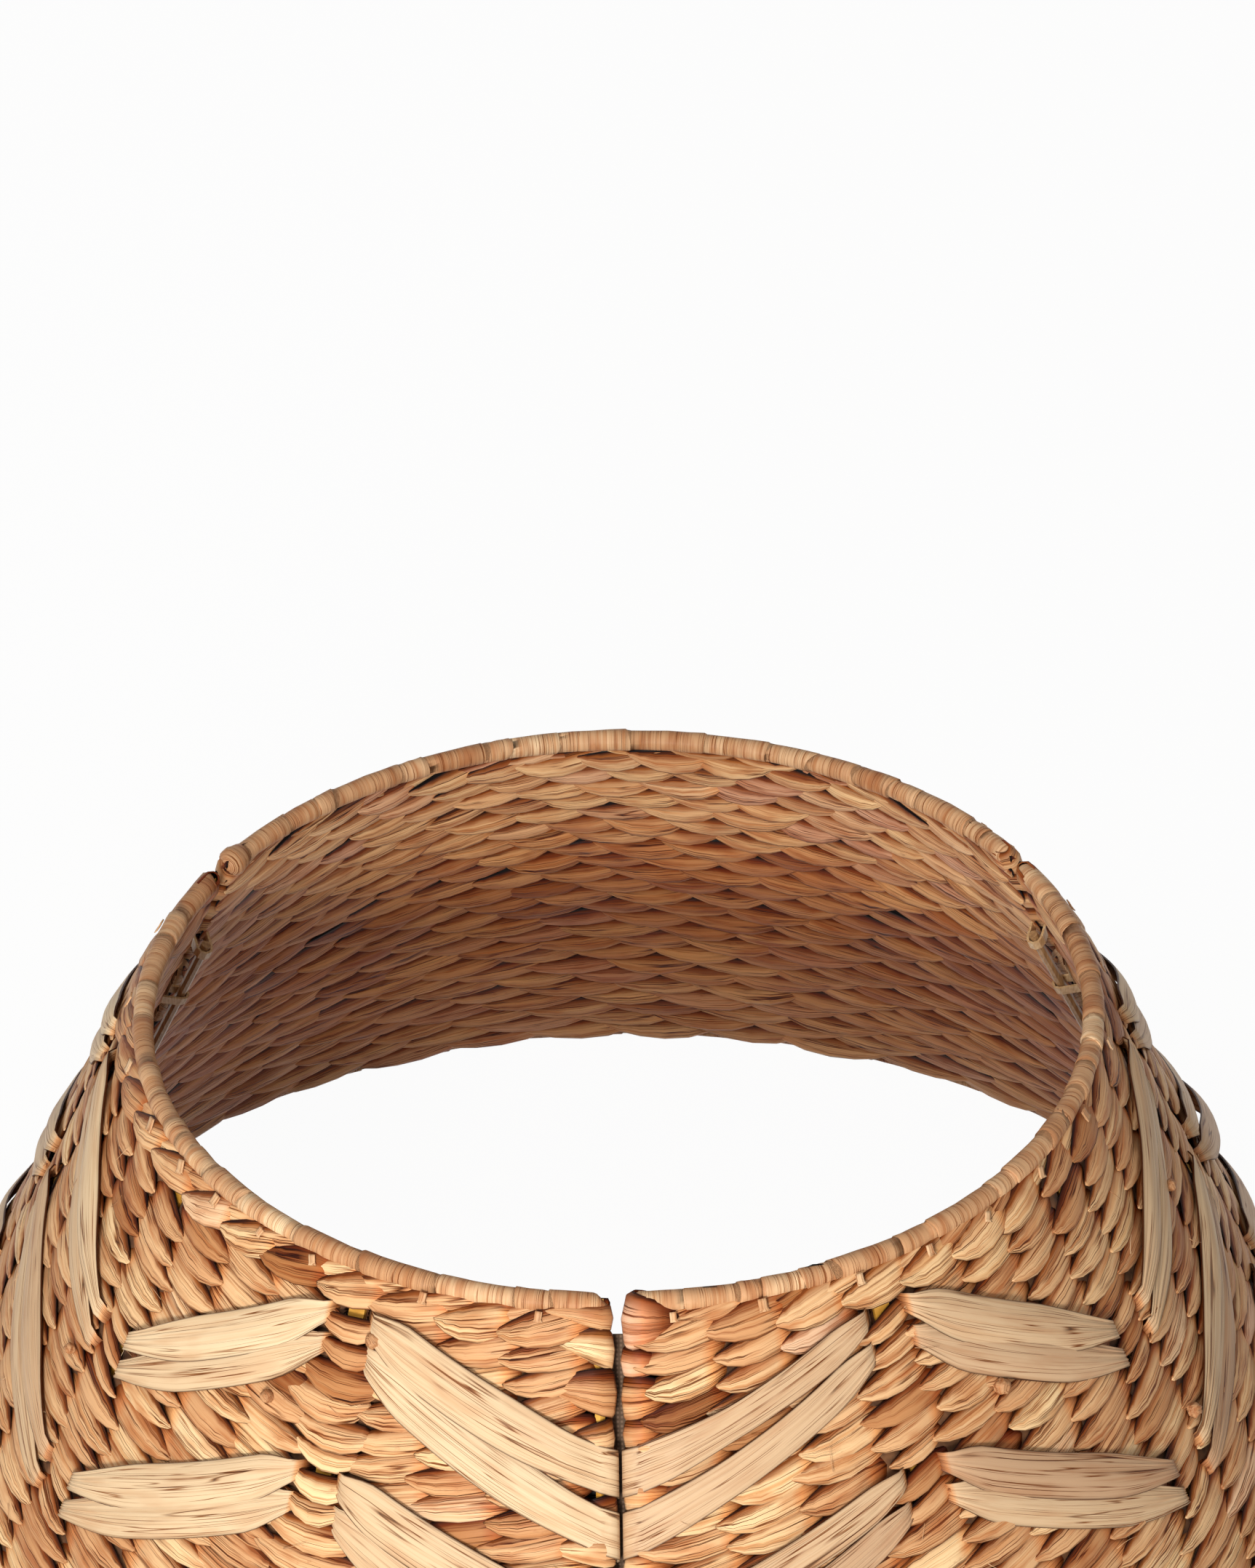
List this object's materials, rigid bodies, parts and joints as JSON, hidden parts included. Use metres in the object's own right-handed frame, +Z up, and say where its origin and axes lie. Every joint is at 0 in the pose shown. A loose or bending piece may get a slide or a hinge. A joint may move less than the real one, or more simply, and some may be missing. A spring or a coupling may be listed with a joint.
{
  "type": "tree skirt",
  "caption": "Flared woven collar for the foot of a tree, in curved wicker panels with zigzag leaf straps, hinged at the back and open at the front.",
  "frame": {"origin": "on the floor, at the middle of the collar", "axes": "+Z up the collar's axis, -Y towards the open front seam, +X to the right seen from the front"},
  "size_m": [0.6944, 0.6954, 0.2766],
  "materials": {
    "steel": "gold paint, satin",
    "weave": "dry twined leaf fibre",
    "wrap": "fine wound leaf strip",
    "leaf": "flat dried leaf, satin",
    "cane": "smooth pale cane",
    "tape": "dark woven tape"
  },
  "bodies": {
    "back_panel": {"back_base_wrap": "wrap", "back_first_lower_loop": "cane", "back_first_upper_loop": "cane", "back_frame": "steel", "back_last_lower_loop": "cane", "back_last_upper_loop": "cane", "back_rim_wrap": "wrap", "back_strap_1_lower": "leaf", "back_strap_1_upper": "leaf", "back_strap_2_lower": "leaf", "back_strap_2_upper": "leaf", "back_strap_3_lower": "leaf", "back_strap_3_upper": "leaf", "back_woven_wall": "weave", "left_hinge_rod": "cane", "right_hinge_rod": "cane"},
    "right_panel": {"right_base_wrap": "wrap", "right_frame": "steel", "right_last_lower_loop": "cane", "right_last_upper_loop": "cane", "right_rim_wrap": "wrap", "right_strap_1_lower": "leaf", "right_strap_1_upper": "leaf", "right_strap_2_lower": "leaf", "right_strap_2_upper": "leaf", "right_strap_3_lower": "leaf", "right_strap_3_upper": "leaf", "right_woven_wall": "weave"},
    "left_panel": {"front_closing_tape": "tape", "left_base_wrap": "wrap", "left_first_lower_loop": "cane", "left_first_upper_loop": "cane", "left_frame": "steel", "left_rim_wrap": "wrap", "left_strap_1_lower": "leaf", "left_strap_1_upper": "leaf", "left_strap_2_lower": "leaf", "left_strap_2_upper": "leaf", "left_strap_3_lower": "leaf", "left_strap_3_upper": "leaf", "left_woven_wall": "weave"}
  },
  "joints": [
    {"name": "right_panel_swing", "type": "hinge", "parent": "back_panel", "child": "right_panel", "pos_m": [0.23382, 0.13499, 0.13286], "axis": [-0.3755, -0.2168, 0.9011], "range_deg": [0, 24]},
    {"name": "left_panel_swing", "type": "hinge", "parent": "back_panel", "child": "left_panel", "pos_m": [-0.23382, 0.13499, 0.13286], "axis": [-0.3755, 0.2168, -0.9011], "range_deg": [0, 24]}
  ]
}
